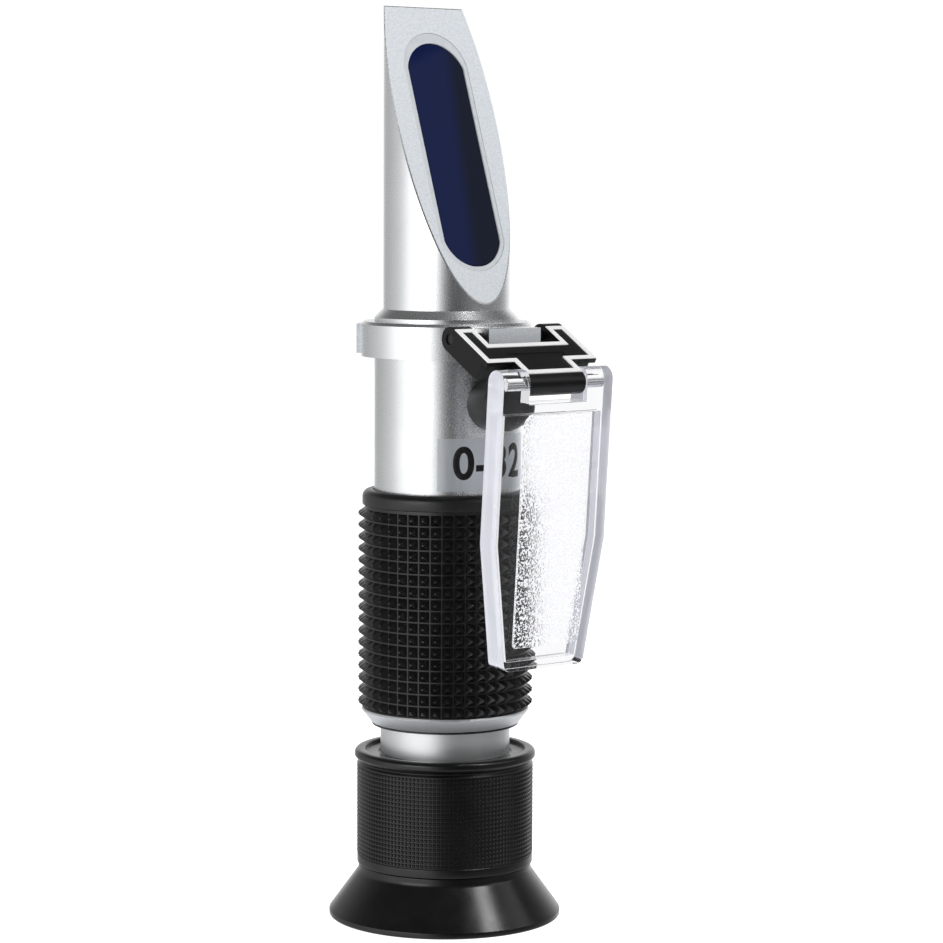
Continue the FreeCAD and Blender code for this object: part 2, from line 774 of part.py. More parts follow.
def make_lens_spacer():
    z0 = lens_seat_z + eye_lens_edge
    return single(tube(cell_bore - fit, cell_bore - lens_lip, z0, z0 + spacer_length))


def make_field_lens():
    return lens(cell_bore - fit, lens_lip + run, field_lens_edge, field_lens_z, *field_lens_rise)


def make_lens_ring():
    z0 = field_lens_z + field_lens_edge
    return single(tube(cell_bore - fit, cell_bore - lens_lip, z0, z0 + lens_ring_height))


# ---------------------------------------------------------------- focus ring and eyecup
def make_focus_ring():
    top = ring_top_z
    bead = ring_radius + bead_proud
    body = turned([
        (flange_bore, spigot_bottom_z), (spigot_radius, spigot_bottom_z),
        (spigot_radius, ring_bottom_z), (ring_radius, ring_bottom_z),
        (ring_radius, top - bead_height - 2 * bead_groove),
        (ring_radius - bead_groove, top - bead_height - bead_groove),
        (ring_radius, top - bead_height), (bead, top - 0.7 * bead_height),
        (bead, top - 0.4 * bead_height), (ring_radius - 0.2, top),
        (ring_radius - top_rim, top), (ring_radius - top_rim, top - top_recess),
        (ring_bore, top - top_recess), (ring_bore, web_top_z),
        (cell_tube_radius + 0.15, web_top_z), (cell_tube_radius + 0.15, web_bottom_z),
        (flange_bore, web_bottom_z)])
    groove_z = focus_groove_z()
    half = o_ring_section + 0.06
    groove = tube(ring_bore + 2 * o_ring_section, ring_bore - 0.2, groove_z - half, groove_z + half)
    return single(body.cut(groove))


def focus_groove_z():
    return ring_top_z - focus_groove_down


def make_focus_o_ring():
    middle = ring_bore + o_ring_section
    return Part.makeTorus(middle, o_ring_section - 0.01, Vector(0, 0, focus_groove_z()))


def make_focus_retainer():
    top = cell_bottom_z - 0.05
    inner = cell_bore - 0.4
    bottom = top - retainer_height
    return single(turned([
        (inner + 0.9, bottom), (flange_bore - fit, bottom), (flange_bore - fit, top),
        (inner, top), (inner, top - retainer_height / 2)]))


def make_eyecup():
    flare_top_z = ring_bottom_z - eyecup_neck
    neck = ring_radius - 0.3
    rise = flare_top_z - eyecup_band
    run_in = eyecup_radius - neck
    mouth = eyecup_radius - eyecup_wall
    floor_z = spigot_bottom_z - eyecup_floor
    inner_at_floor = mouth - run_in / rise * (floor_z - eyecup_mouth_depth)
    return single(turned([
        (mouth, 0), (eyecup_radius - 0.3, 0), (eyecup_radius, 0.3), (eyecup_radius, eyecup_band),
        (neck, flare_top_z), (neck, ring_bottom_z), (spigot_radius + fit, ring_bottom_z),
        (spigot_radius + fit, spigot_bottom_z), (flange_bore + 0.3, spigot_bottom_z),
        (flange_bore + 0.3, floor_z), (inner_at_floor, floor_z), (mouth, eyecup_mouth_depth)]))


# ---------------------------------------------------------------- all pieces
PIECES = {
    "prism_housing": make_prism_housing,
    "measuring_prism": make_measuring_prism,
    "prism_seal": make_prism_seal,
    "housing_o_ring": make_housing_o_ring,
    "body_tube": make_body_tube,
    "end_ring": make_end_ring,
    "end_gasket": make_end_gasket,
    "grip_sleeve": make_grip_sleeve,
    "label_plate": make_label_plate,
    "hinge_collar": make_hinge_collar,
    "collar_set_screw": make_collar_set_screw,
    "hinge_link": make_hinge_link,
    "rear_pin": make_rear_pin,
    "front_pin": make_front_pin,
    "daylight_plate": make_daylight_plate,
    "calibration_cap": make_calibration_cap,
    "calibration_bush": make_calibration_bush,
    "calibration_screw": make_calibration_screw,
    "carriage_guide": make_carriage_guide,
    "carriage_keeper": make_carriage_keeper,
    "objective_carriage": make_objective_carriage,
    "return_spring": make_return_spring,
    "bimetal_strip": make_bimetal_strip,
    "strip_screws": make_strip_screws,
    "objective_cell": make_objective_cell,
    "objective_lens": make_objective_lens,
    "objective_ring": make_objective_ring,
    "light_baffle_lower": lambda: make_light_baffle(baffles_up[0]),
    "light_baffle_upper": lambda: make_light_baffle(baffles_up[1]),
    "eyepiece_tube": make_eyepiece_tube,
    "reticle_holder": make_reticle_holder,
    "reticle_disc": make_reticle_disc,
    "reticle_ring": make_reticle_ring,
    "ocular_cell": make_ocular_cell,
    "eye_lens": make_eye_lens,
    "lens_spacer": make_lens_spacer,
    "field_lens": make_field_lens,
    "lens_ring": make_lens_ring,
    "focus_retainer": make_focus_retainer,
    "focus_ring": make_focus_ring,
    "focus_o_ring": make_focus_o_ring,
    "eyecup": make_eyecup,
}

os.makedirs("parts", exist_ok=True)
for name, make in PIECES.items():
    shape = make()
    if not shape.isValid() or not shape.Solids:
        raise ValueError(name + " is not a valid solid")
    shape.exportStep("parts/" + name + ".step")
    box = shape.BoundBox
    print(f"{name}: {len(shape.Solids)} solid(s), {shape.Volume:.1f} mm3, "
          f"z {box.ZMin:.2f} to {box.ZMax:.2f}")
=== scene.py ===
import json
import math

import bmesh
import bpy
from mathutils import Matrix, Vector

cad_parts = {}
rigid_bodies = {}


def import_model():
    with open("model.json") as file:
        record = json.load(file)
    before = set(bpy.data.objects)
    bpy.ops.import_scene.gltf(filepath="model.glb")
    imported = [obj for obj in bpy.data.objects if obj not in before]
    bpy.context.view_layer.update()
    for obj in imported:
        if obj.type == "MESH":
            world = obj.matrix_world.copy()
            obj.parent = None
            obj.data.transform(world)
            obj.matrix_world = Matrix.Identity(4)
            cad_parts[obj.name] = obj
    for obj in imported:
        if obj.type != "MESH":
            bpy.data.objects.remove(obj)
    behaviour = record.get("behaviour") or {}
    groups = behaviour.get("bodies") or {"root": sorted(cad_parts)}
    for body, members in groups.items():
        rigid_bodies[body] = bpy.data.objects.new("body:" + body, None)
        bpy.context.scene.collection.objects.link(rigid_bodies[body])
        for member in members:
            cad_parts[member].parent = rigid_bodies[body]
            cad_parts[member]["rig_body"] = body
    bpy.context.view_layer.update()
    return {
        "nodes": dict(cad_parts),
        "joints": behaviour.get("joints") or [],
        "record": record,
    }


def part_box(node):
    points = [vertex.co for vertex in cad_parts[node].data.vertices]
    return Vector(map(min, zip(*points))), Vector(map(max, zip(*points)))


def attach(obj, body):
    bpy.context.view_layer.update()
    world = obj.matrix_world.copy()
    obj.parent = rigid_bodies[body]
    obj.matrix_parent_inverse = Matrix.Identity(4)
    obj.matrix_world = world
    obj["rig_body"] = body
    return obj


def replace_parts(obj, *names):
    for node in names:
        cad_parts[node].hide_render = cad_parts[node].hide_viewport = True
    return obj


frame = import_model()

MM = 0.001

# ---------------------------------------------------------------- sizes, in millimetres
FIT = 0.02                   # radial clearance of a fixed fit
RUN = 0.04                   # radial clearance of a turning or sliding fit

# Grip teeth
TOOTH_ROWS = 17
TOOTH_COLUMNS = 44
TOOTH_DEPTH = 1.1
TOOTH_FLOOR = 0.06           # half the flat floor of a groove, as a share of the pitch
TOOTH_TOP = 0.43             # where a tooth's small flat top begins, as a share of the pitch
GRIP_LIP = 3.2
GRIP_LIP_STEP = 0.7
GRIP_ROUND = 1.3
GRIP_MOUTH = 0.25            # of the grip's lip round the tube
GRIP_MOUTH_DEPTH = 0.6
GRIP_END = 0.05              # plain edge below the teeth

# Focus ring knurl
KNURL_ROWS = 21
KNURL_COLUMNS = 132
KNURL_DEPTH = 0.2
KNURL_FLOOR = 0.14
KNURL_TOP = 0.34
KNURL_STEP = 0.05            # of the plain bands at the knurl's ends
KNURL_LOW_BAND = 1.7         # smooth band under the knurl
KNURL_HIGH_BAND = 0.2
BEAD_HEIGHT = 1.7
BEAD_PROUD = 0.4
BEAD_GROOVE = 0.45
TOP_RIM = 1.5
TOP_RECESS = 0.6
SPIGOT_STEP = 2.6            # from the outside of the ring to its spigot
SPIGOT_WALL = 1.1
CELL_FLANGE = 1.85           # of the ocular cell, inside the ring's spigot
FOCUS_WEB = 1.5              # of the ring over that flange

# Eyecup
EYECUP_MOUTH_WALL = 1.6
EYECUP_MOUTH_DEPTH = 1.2
EYECUP_BAND = 1.0
EYECUP_NECK = 1.2
EYECUP_NECK_STEP = 0.3       # from the outside of the focus ring
EYECUP_FLOOR = 0.6
EYECUP_LEDGE = 0.3           # of the floor under the ring's spigot

# Hinge link
STRIPE_WIDTH = 0.95
STRIPE_HEIGHT = 0.16
STRIPE_INSET = 0.05
STRIPE_SUNK = 0.12
STRIPE_REAR = 0.35           # from the rear pin
SLOT_HALF_WIDTH = 7.9
SLOT_REACH = 5.2
WING_REACH = 10.7
BARREL_HALF_WIDTH = 6.1
LINK_DEPTH = 4.2

# Daylight plate
PLATE_TILT = math.radians(4.2)
PLATE_DEPTH = 4.2
PLATE_PAD_CLEAR = 0.1        # of the pad's face from the plate's
PLATE_WALL_FROM = 7.0        # least reach of the side walls from the middle
PLATE_WALL_TOP = 2.0         # of the side walls above the front pin

# Collar
LUG_REACH = 6.0              # of the lug's flat face each way

# Oblique face, from upright
FACE_ANGLE = math.radians(19.2)

# Edge between the prism's lighter and darker blue, which is painted light, in metres
EDGE_LEAN = 0.11             # across, for each unit up
EDGE_SHIFT = 0.0005

# Figures on the label
MARK_SHARE = 0.85            # of the label's height
MARK_BOLD = 0.2
MARK_PROUD = 0.03
MARK_SUNK = 0.02

# Camera
CAMERA_AZIMUTH = math.radians(-38.76)
CAMERA_PITCH = math.radians(5.47)
CAMERA_ROLL = math.radians(0.24)
CAMERA_DISTANCE = 0.5365
CAMERA_LENS = 116.4
AIM_HEIGHT = 0.0789
AIM_SIDE = 0.0045

# Studio: how light its walls are, by degrees to the right of the camera
WALLS = [(-180, 1.15), (-166, 0.95), (-150, 0.46), (-130, 0.48), (-98, 0.66), (-86, 0.86), (-75, 1.25),
         (-20, 1.25), (-8, 0.35), (2, 0.07), (24, 0.07), (50, 0.19), (90, 0.2), (118, 0.3),
         (134, 0.5), (150, 0.95), (165, 1.15), (180, 1.15)]
WORLD_STRENGTH = 1.3
GROUND_LIGHT = (0.62, 0.63, 0.65)
GROUND_EDGE = (-0.22, -0.5)
CEILING_LIGHT = (0.1, 0.1, 0.1)
CEILING_EDGE = (0.2, 0.6)
BACKDROP_LIGHT = (0.8, 0.8, 0.8)
BACKDROP_EDGE = (0.05, 0.4)
FLOOR_RADIUS = 1.6
FLOOR_DROP = 0.00005
FLOOR_GLOW = 1.05

# Lamps: name, degrees to the right of the camera, rise, width, height, radiance
LAMP_DISTANCE = 0.9
LAMPS = [("key_left", -40, 14, 0.55, 0.45, 1.5),
         ("top_right", 84, 26, 0.6, 0.3, 0.9),
         ("overhead", 61, 53, 0.2, 0.5, 10.5)]


# ---------------------------------------------------------------- places from the frame
def low_high(node, axis):
    """Lowest and highest value of a CAD node along an axis, in millimetres."""
    low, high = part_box(node)
    return low[axis] / MM, high[axis] / MM


def radius_of(node):
    low, high = low_high(node, 0)
    return (high - low) / 2


JOINT = {joint["name"]: joint for joint in frame["joints"]}
REAR_PIN = Vector(JOINT["link_pivot"]["pos_m"])
FRONT_PIN = Vector(JOINT["plate_pivot"]["pos_m"])


# ---------------------------------------------------------------- material tools
class Graph:
    """Short calls that add nodes to a tree. Each returns an output."""

    def __init__(self, tree):
        self.nodes = tree.nodes
        self.links = tree.links

    def split(self, vector):
        node = self.nodes.new("ShaderNodeSeparateXYZ")
        self.links.new(vector, node.inputs["Vector"])
        return node.outputs["X"], node.outputs["Y"], node.outputs["Z"]

    def math(self, operation, first, second):
        """The first value is an output, and the second an output or a number."""
        node = self.nodes.new("ShaderNodeMath")
        node.operation = operation
        self.links.new(first, node.inputs[0])
        if isinstance(second, float):
            node.inputs[1].default_value = second
        else:
            self.links.new(second, node.inputs[1])
        return node.outputs["Value"]

    def remap(self, value, low, high, start=0.0, end=1.0, curve="LINEAR"):
        node = self.nodes.new("ShaderNodeMapRange")
        node.interpolation_type = curve
        node.inputs["From Min"].default_value = start
        node.inputs["From Max"].default_value = end
        node.inputs["To Min"].default_value = low
        node.inputs["To Max"].default_value = high
        self.links.new(value, node.inputs["Value"])
        return node.outputs["Result"]

    def ramp(self, value, stops):
        node = self.nodes.new("ShaderNodeValToRGB")
        elements = node.color_ramp.elements
        while len(elements) < len(stops):
            elements.new(0.5)
        for element, (place, colour) in zip(elements, stops):
            element.position = place
            element.color = (*colour, 1.0)
        self.links.new(value, node.inputs["Fac"])
        return node.outputs["Color"]

    def mix(self, factor, first, colour):
        """From the first colour, an output, to a fixed one."""
        node = self.nodes.new("ShaderNodeMix")
        node.data_type = "RGBA"
        self.links.new(factor, node.inputs["Factor"])
        self.links.new(first, node.inputs[6])
        node.inputs[7].default_value = (*colour, 1.0)
        return node.outputs[2]


class Shader(Graph):
    """A new material with a Principled shader."""

    def __init__(self, name, colour, roughness, metallic=0.0):
        self.material = bpy.data.materials.new(name)
        self.material.use_nodes = True
        super().__init__(self.material.node_tree)
        self.surface = self.nodes["Principled BSDF"]
        self.set("Base Color", (*colour, 1.0))
        self.set("Roughness", roughness)
        self.set("Metallic", metallic)
        self.places = self.nodes.new("ShaderNodeTexCoord").outputs["Object"]

    def set(self, socket, value):
        self.surface.inputs[socket].default_value = value

    def link(self, output, socket):
        self.links.new(output, self.surface.inputs[socket])

    def glow(self, colour, strength):
        self.set("Emission Color", (*colour, 1.0))
        self.set("Emission Strength", strength)

    def noise(self, scale, detail=3.0, roughness=0.55, stretch=(1, 1, 1)):
        mapping = self.nodes.new("ShaderNodeMapping")
        mapping.inputs["Scale"].default_value = stretch
        self.links.new(self.places, mapping.inputs["Vector"])
        noise = self.nodes.new("ShaderNodeTexNoise")
        noise.inputs["Scale"].default_value = scale
        noise.inputs["Detail"].default_value = detail
        noise.inputs["Roughness"].default_value = roughness
        self.links.new(mapping.outputs["Vector"], noise.inputs["Vector"])
        return noise.outputs["Fac"]

    def bump(self, height, distance):
        node = self.nodes.new("ShaderNodeBump")
        node.inputs["Distance"].default_value = distance
        self.links.new(height, node.inputs["Height"])
        self.link(node.outputs["Normal"], "Normal")


def grey(value, tint=(1.0, 1.0, 1.0)):
    return tuple(value * part for part in tint)


# ---------------------------------------------------------------- materials
def satin_aluminium(name, roughness=0.27, grain=0.000010, metallic=1.0):
    """Bead-blasted and anodised: a fine crystalline grain over a soft sheen."""
    shader = Shader(name, grey(0.86, (0.97, 0.99, 1.0)), roughness, metallic)
    blast = shader.noise(5200, detail=2.0, roughness=0.6)
    clouds = shader.noise(90, detail=4.0)
    shader.link(shader.remap(blast, roughness - 0.05, roughness + 0.07, 0.3, 0.7), "Roughness")
    tone = shader.ramp(clouds, [(0.3, grey(0.83, (0.965, 0.985, 1.0))),
                                (0.7, grey(0.88, (0.975, 0.99, 1.0)))])
    shader.link(tone, "Base Color")
    shader.bump(blast, grain)
    return shader.material


def blasted_face(name):
    """The oblique face is blasted harder: paler, duller and speckled."""
    shader = Shader(name, (0.82, 0.87, 0.94), 0.5, metallic=0.2)
    blast = shader.noise(3800, detail=2.0, roughness=0.6)
    shader.link(shader.remap(blast, 0.4, 0.6, 0.3, 0.7), "Roughness")
    tone = shader.ramp(blast, [(0.35, (0.77, 0.83, 0.91)), (0.65, (0.97, 0.99, 1.0))])
    shader.link(tone, "Base Color")
    shader.bump(blast, 0.00002)
    return shader.material


def turned_metal(name, colour, roughness=0.22):
    """Turned on a lathe: fine rings round the part."""
    shader = Shader(name, colour, roughness, metallic=1.0)
    rings = shader.noise(1500, detail=2.0, stretch=(0.03, 0.03, 1.0))
    shader.link(shader.remap(rings, roughness - 0.06, roughness + 0.1), "Roughness")
    shader.bump(rings, 0.000004)
    return shader.material


def black_rubber(name, tone=0.009, roughness=0.36):
    """Moulded rubber: nearly black, with a dusty bloom and a fine skin."""
    shader = Shader(name, grey(tone), roughness)
    shader.set("Specular IOR Level", 0.5)
    dust = shader.noise(260, detail=5.0, roughness=0.65)
    skin = shader.noise(4200, detail=2.0)
    shader.link(shader.ramp(dust, [(0.35, grey(tone * 0.85)), (0.75, grey(tone * 1.6))]), "Base Color")
    shader.link(shader.remap(dust, roughness - 0.07, roughness + 0.1), "Roughness")
    shader.bump(skin, 0.000006)
    return shader.material


def black_plastic(name, tone=0.004, roughness=0.34, shine=0.3):
    """Moulded plastic with a light spark-eroded texture."""
    shader = Shader(name, grey(tone, (1.0, 1.0, 1.03)), roughness)
    shader.set("Specular IOR Level", shine)
    spark = shader.noise(3600, detail=2.0, roughness=0.5)
    smears = shader.noise(150, detail=3.0)
    shader.link(shader.remap(smears, roughness - 0.06, roughness + 0.1), "Roughness")
    shader.link(shader.ramp(smears, [(0.3, grey(tone * 0.9)), (0.8, grey(tone * 1.4))]), "Base Color")
    shader.bump(spark, 0.000006)
    return shader.material


def white_line_with_painted_glow(name):
    """A bright white line, slightly uneven in tone. Its faint glow is painted light, which keeps it white
    under a dim ceiling.
    """
    shader = Shader(name, grey(0.95), 0.4)
    wear = shader.noise(900, detail=4.0)
    shader.link(shader.ramp(wear, [(0.25, grey(0.9)), (0.45, grey(0.99))]), "Base Color")
    # painted light: a glow that keeps the white line bright under the dim ceiling
    shader.glow(grey(1.0), 0.22)
    shader.bump(wear, 0.000004)
    return shader.material


def clear_acrylic(name):
    """Moulded plastic, clear and very slightly wavy."""
    shader = Shader(name, (0.985, 0.985, 1.0), 0.0)
    shader.set("Transmission Weight", 1.0)
    shader.set("IOR", 1.49)
    waves = shader.noise(120, detail=2.0)
    shader.link(shader.remap(waves, 0.0, 0.025), "Roughness")
    shader.bump(waves, 0.00001)
    return shader.material


def frosted_acrylic(name):
    """The ground face that spreads daylight over the prism: white specks on clear plastic, which also
    carry a painted glow.
    """
    shader = Shader(name, (0.97, 0.97, 1.0), 0.06)
    shader.set("IOR", 1.49)
    shader.set("Emission Color", (0.97, 0.97, 1.0, 1.0))
    speck_grit_and_glow = shader.noise(2700, detail=1.5, roughness=0.6)
    shader.link(shader.remap(speck_grit_and_glow, 1.0, 0.0, 0.51, 0.57), "Transmission Weight")
    # painted light: the white specks glow so that they stay white
    shader.link(shader.remap(speck_grit_and_glow, 0.0, 0.45, 0.51, 0.57), "Emission Strength")
    shader.link(shader.remap(speck_grit_and_glow, 0.03, 0.3, 0.45, 0.55), "Roughness")
    shader.bump(speck_grit_and_glow, 0.00009)
    return shader.material


def milky_acrylic(name):
    """The plate's side walls: white on edge, with a painted glow that lightens them."""
    shader = Shader(name, (0.95, 0.95, 1.0), 0.25)
    shader.set("Transmission Weight", 0.3)
    # painted light: a glow that lightens the side walls
    shader.glow((0.90, 0.91, 1.0), 0.24)
    shader.set("IOR", 1.49)
    streaks = shader.noise(500, detail=3.0, stretch=(1, 1, 0.15))
    shader.link(shader.ramp(streaks, [(0.3, (0.77, 0.78, 0.85)), (0.7, (0.87, 0.88, 0.94))]), "Base Color")
    shader.link(shader.remap(streaks, 0.15, 0.35), "Roughness")
    return shader.material


def prism_glass(name):
    """Dark blue glass, with painted light: lighter on the side where its inner face throws the light back.
    """
    shader = Shader(name, (0.011, 0.017, 0.08), 0.04)
    shader.set("IOR", 1.6)
    shader.set("Specular IOR Level", 0.06)
    low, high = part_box("measuring_prism")
    across, _, up = shader.split(shader.places)
    edge = shader.math("ADD", shader.math("MULTIPLY", up, -EDGE_LEAN), EDGE_LEAN * low.z + EDGE_SHIFT)
    place = shader.remap(shader.math("ADD", across, edge), 0.0, 1.0, low.x, high.x)
    # painted reflection: the blue is lighter on one side of the edge, for light thrown back by the inner
    # face
    blue = shader.ramp(place, [(0.1, (0.0068, 0.0150, 0.078)), (0.40, (0.0065, 0.0145, 0.075)),
                               (0.60, (0.006, 0.0105, 0.030)), (1.0, (0.006, 0.010, 0.026))])
    shader.link(blue, "Base Color")
    return shader.material


def pale_seal(name):
    """Pale potting compound round the prism."""
    shader = Shader(name, (0.80, 0.84, 0.87), 0.3)
    smears = shader.noise(600, detail=3.0)
    shader.link(shader.ramp(smears, [(0.3, (0.78, 0.82, 0.86)), (0.7, (0.86, 0.89, 0.92))]), "Base Color")
    shader.link(shader.remap(smears, 0.2, 0.4), "Roughness")
    shader.bump(smears, 0.00001)
    return shader.material


def lens_glass(name):
    """Coated optical glass."""
    shader = Shader(name, (0.97, 0.99, 1.0), 0.0)
    shader.set("Transmission Weight", 1.0)
    shader.set("IOR", 1.52)
    shader.set("Coat Weight", 0.4)
    shader.set("Coat Tint", (0.7, 0.8, 1.0, 1.0))
    film = shader.noise(80, detail=2.0)
    shader.link(shader.remap(film, 0.0, 0.02), "Roughness")
    return shader.material


def label_foil(name):
    """A silver-grey printed foil, brushed round the tube."""
    shader = Shader(name, (0.72, 0.76, 0.80), 0.28)
    shader.set("Metallic", 0.6)
    fibres = shader.noise(1500, detail=2.0, stretch=(1, 1, 0.1))
    shader.link(shader.remap(fibres, 0.25, 0.35), "Roughness")
    shader.link(shader.ramp(fibres, [(0.3, (0.73, 0.77, 0.81)), (0.7, (0.76, 0.80, 0.84))]), "Base Color")
    return shader.material


ALUMINIUM = satin_aluminium("satin_aluminium")
SMOOTH_ALUMINIUM = satin_aluminium("smooth_aluminium", roughness=0.38, grain=0.000002, metallic=0.8)
FACE_METAL = blasted_face("blasted_face")
STEEL = turned_metal("turned_steel", (0.60, 0.60, 0.61))
BRASS = turned_metal("turned_brass", (0.68, 0.50, 0.22))
BLACK_METAL = black_plastic("black_anodised", tone=0.012, roughness=0.42, shine=0.5)
RUBBER = black_rubber("black_rubber", roughness=0.31)
CUP_RUBBER = black_rubber("eyecup_rubber", tone=0.004, roughness=0.22)
PLASTIC = black_plastic("black_plastic")
RING_PLASTIC = black_plastic("ring_plastic", tone=0.005, roughness=0.25, shine=0.5)
WHITE = white_line_with_painted_glow("white_outline")
CLEAR = clear_acrylic("clear_acrylic")
FROSTED = frosted_acrylic("frosted_acrylic")
MILKY = milky_acrylic("milky_acrylic")
PRISM = prism_glass("prism_glass")
SEAL = pale_seal("pale_seal")
LENS = lens_glass("lens_glass")
FOIL = label_foil("label_foil")
INK = black_plastic("label_ink", tone=0.008, roughness=0.5)

SLOT_MATERIAL = {
    "satin_aluminium": ALUMINIUM,
    "black_metal": BLACK_METAL,
    "black_rubber": RUBBER,
    "seal": SEAL,
    "black_plastic": PLASTIC,
    "clear_acrylic": CLEAR,
    "prism_glass": PRISM,
    "lens_glass": LENS,
    "steel": STEEL,
    "brass": BRASS,
    "label": FOIL,
}


# ---------------------------------------------------------------- mesh tools
def smooth(mesh, angle=32):
    mesh.shade_smooth()
    mesh.set_sharp_from_angle(angle=math.radians(angle))


def new_piece(name, points, faces, materials, body, slot, angle=32):
    """A mesh piece from points in millimetres that rides on a body."""
    mesh = bpy.data.meshes.new(name)
    mesh.from_pydata([tuple(MM * part for part in point) for point in points], [], faces)
    for material in materials:
        mesh.materials.append(material)
    face_out(mesh)
    smooth(mesh, angle)
    piece = bpy.data.objects.new(name, mesh)
    bpy.context.scene.collection.objects.link(piece)
    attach(piece, body)
    return piece


def face_out(mesh):
    """Turns every face of a closed mesh outwards."""
    work = bmesh.new()
    work.from_mesh(mesh)
    bmesh.ops.recalc_face_normals(work, faces=work.faces)
    work.to_mesh(mesh)
    work.free()


def rounded(corners, steps=6):
    """Corners (radius, z, rounding) to a line whose rounded corners are arcs."""
    line = []
    count = len(corners)
    for index, (radius, z, fillet) in enumerate(corners):
        corner = Vector((radius, z))
        if not fillet:
            line.append(corner)
            continue
        before = (Vector(corners[index - 1][:2]) - corner).normalized()
        after = (Vector(corners[(index + 1) % count][:2]) - corner).normalized()
        half = before.angle(after) / 2
        reach = fillet / math.tan(half)
        centre = corner + (before + after).normalized() * (fillet / math.sin(half))
        start = corner + before * reach - centre
        turn = start.angle_signed(corner + after * reach - centre)
        for step in range(steps + 1):
            spun = start.copy()
            spun.rotate(Matrix.Rotation(-turn * step / steps, 2))
            line.append(centre + spun)
    return line


def ring_stack(rings):
    """Points and faces of a closed ring-shaped solid.

    Each ring is (z, [radius, ...]), and the last ring joins the first. A four-sided patch with
    one corner out of level is split through that corner, so that a tooth's edges stay straight."""
    count = len(rings[0][1])
    points = []
    for z, radii in rings:
        for column, radius in enumerate(radii):
            angle = 2 * math.pi * column / count
            points.append((radius * math.cos(angle), radius * math.sin(angle), z))
    faces = []
    for row in range(len(rings)):
        above = (row + 1) % len(rings)
        for column in range(count):
            beside = (column + 1) % count
            patch = [(row, column), (row, beside), (above, beside), (above, column)]
            heights = [rings[r][1][c] for r, c in patch]
            corner = odd_corner(heights)
            ids = [r * count + c for r, c in patch]
            if corner is None:
                faces.append(ids)
            else:
                ids = ids[corner:] + ids[:corner]
                faces.append([ids[0], ids[1], ids[2]])
                faces.append([ids[0], ids[2], ids[3]])
    return points, faces


def odd_corner(heights):
    """Which of four heights is the only one that is higher than the rest, or None."""
    order = sorted(range(4), key=lambda k: heights[k])
    rest = [heights[k] for k in order[:3]]
    if heights[order[3]] - rest[2] > 1e-4 and rest[2] - rest[0] < 1e-4:
        return order[3]
    return None


def tooth_steps(floor, top):
    """Places of one tooth's bends along its pitch, each with its share of the height."""
    return [(floor, 0.0), (top, 1.0), (1 - top, 1.0), (1 - floor, 0.0)]


def knurl_rings(z0, z1, rows, columns, low, high, floor, top):
    """Rings of a band of square teeth. Each ring lists a radius for each bend of each column;
    knurled_piece sets the columns' uneven angles.
    """
    steps = tooth_steps(floor, top)
    rings = []
    for row in range(rows):
        for place, share in steps:
            z = z0 + (z1 - z0) * (row + place) / rows
            radii = [low + (high - low) * min(share, across) for _ in range(columns)
                     for _, across in steps]
            rings.append((z, radii))
    return rings


def knurled_piece(name, below, band, above, columns, floor, top, **named):
    """A turned solid with a knurled band: the profile's corners below it, its rings, those above."""
    steps = tooth_steps(floor, top)
    count = columns * len(steps)
    rings = [(z, [radius] * count) for radius, z in below] + band
    rings += [(z, [radius] * count) for radius, z in above]
    points, faces = ring_stack(rings)
    turned = []
    for index, (x, y, z) in enumerate(points):
        column, step = divmod(index % count, len(steps))
        angle = 2 * math.pi * (column + steps[step][0]) / columns
        radius = math.hypot(x, y)
        turned.append((radius * math.cos(angle), radius * math.sin(angle), z))
    return new_piece(name, turned, faces, **named)


def lathe(name, corners, segments=224, steps=6, **named):
    """A turned solid from a closed profile of (radius, z, rounding) corners."""
    rings = [(place.y, [place.x] * segments) for place in rounded(corners, steps)]
    points, faces = ring_stack(rings)
    return new_piece(name, points, faces, **named)


def refined(name, node, bevel, material, angle=30, segments=2):
    """A copy of a CAD node with its sharp edges rounded, which stands for the node."""
    source = frame["nodes"][node]
    mesh = source.data.copy()
    mesh.name = name
    if "custom_normal" in mesh.attributes:
        mesh.attributes.remove(mesh.attributes["custom_normal"])
    work = bmesh.new()
    work.from_mesh(mesh)
    bmesh.ops.remove_doubles(work, verts=work.verts, dist=1e-7)
    bmesh.ops.dissolve_limit(work, angle_limit=math.radians(1.0), verts=work.verts, edges=work.edges)
    work.to_mesh(mesh)
    work.free()
    mesh.materials.clear()
    mesh.materials.append(material)
    piece = bpy.data.objects.new(name, mesh)
    bpy.context.scene.collection.objects.link(piece)
    if bevel:
        rounding = piece.modifiers.new("edges", "BEVEL")
        rounding.width = bevel * MM
        rounding.segments = segments
        rounding.limit_method = "ANGLE"
        rounding.angle_limit = math.radians(angle)
        rounding.harden_normals = True
    smooth(mesh, angle)
    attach(piece, source["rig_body"])
    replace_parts(piece, node)
    return piece


# ---------------------------------------------------------------- grip
def make_grip():
    z0, z1 = low_high("grip_sleeve", 2)
    peak = radius_of("grip_sleeve")
    inner = radius_of("body_tube") + FIT
    valley = peak - TOOTH_DEPTH
    lip = peak - GRIP_LIP_STEP
    lip_z = z1 - GRIP_LIP
    band = knurl_rings(z0 + GRIP_END, lip_z, TOOTH_ROWS, TOOTH_COLUMNS, valley, peak,
                       TOOTH_FLOOR, TOOTH_TOP)
    above = [(valley, lip_z)]
    above += [tuple(place) for place in rounded([
        (lip, lip_z, 0.25), (lip, z1, GRIP_ROUND), (inner + GRIP_MOUTH, z1, 0.15),
        (inner, z1 - GRIP_MOUTH_DEPTH, 0)])]
    below = [(inner, z0), (valley, z0)]
    return knurled_piece("grip", below, band, above, TOOTH_COLUMNS, TOOTH_FLOOR, TOOTH_TOP,
                         materials=[RUBBER], body="body", slot="black_rubber", angle=20)


